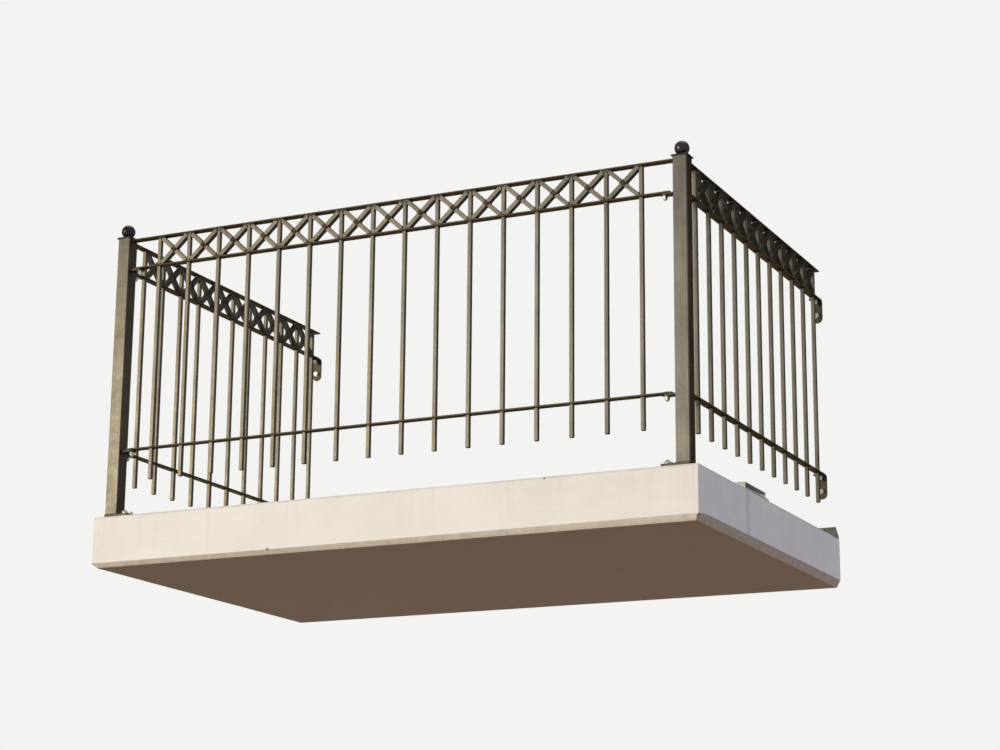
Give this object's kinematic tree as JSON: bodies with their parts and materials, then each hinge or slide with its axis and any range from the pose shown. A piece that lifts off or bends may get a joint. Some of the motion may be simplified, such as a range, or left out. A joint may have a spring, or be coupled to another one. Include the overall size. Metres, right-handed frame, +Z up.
{
  "type": "wrought iron balcony",
  "caption": "Balcony slab that stands out from a wall, with a dark iron railing of square bars, a frieze of crossed braces, ball-topped corner posts and wall brackets.",
  "frame": {"origin": "middle of the slab's flat rear face, on the plane of the wall", "axes": "+X along the wall to the right as seen from the street, +Y into the wall, +Z up"},
  "size_m": [2.28, 1.43, 1.2657],
  "materials": {
    "painted_concrete": "off-white masonry paint on smooth render, dirty along the lower bevel",
    "weathered_iron": "warm grey iron paint, satin, weathered",
    "dark_iron": "blue-black iron paint, semi-gloss",
    "zinc_sheet": "dull weathered zinc sheet"
  },
  "bodies": {
    "root": {"slab": "painted_concrete", "wall_flashing": "zinc_sheet", "drain_outlet": "zinc_sheet", "left_post": "weathered_iron", "right_post": "weathered_iron", "left_post_cap": "dark_iron", "right_post_cap": "dark_iron", "left_post_ball": "dark_iron", "right_post_ball": "dark_iron", "left_base_plate": "weathered_iron", "right_base_plate": "weathered_iron", "front_top_rail": "weathered_iron", "front_frieze_rail": "weathered_iron", "front_bottom_rail": "weathered_iron", "front_bars": "weathered_iron", "front_frieze_braces": "weathered_iron", "left_top_rail": "weathered_iron", "left_frieze_rail": "weathered_iron", "left_bottom_rail": "weathered_iron", "left_bars": "weathered_iron", "left_frieze_braces": "weathered_iron", "right_top_rail": "weathered_iron", "right_frieze_rail": "weathered_iron", "right_bottom_rail": "weathered_iron", "right_bars": "weathered_iron", "right_frieze_braces": "weathered_iron", "left_upper_lugs": "weathered_iron", "left_lower_lugs": "weathered_iron", "right_upper_lugs": "weathered_iron", "right_lower_lugs": "weathered_iron", "left_upper_wall_bracket": "weathered_iron", "left_lower_wall_bracket": "weathered_iron", "right_upper_wall_bracket": "weathered_iron", "right_lower_wall_bracket": "weathered_iron"}
  },
  "joints": []
}
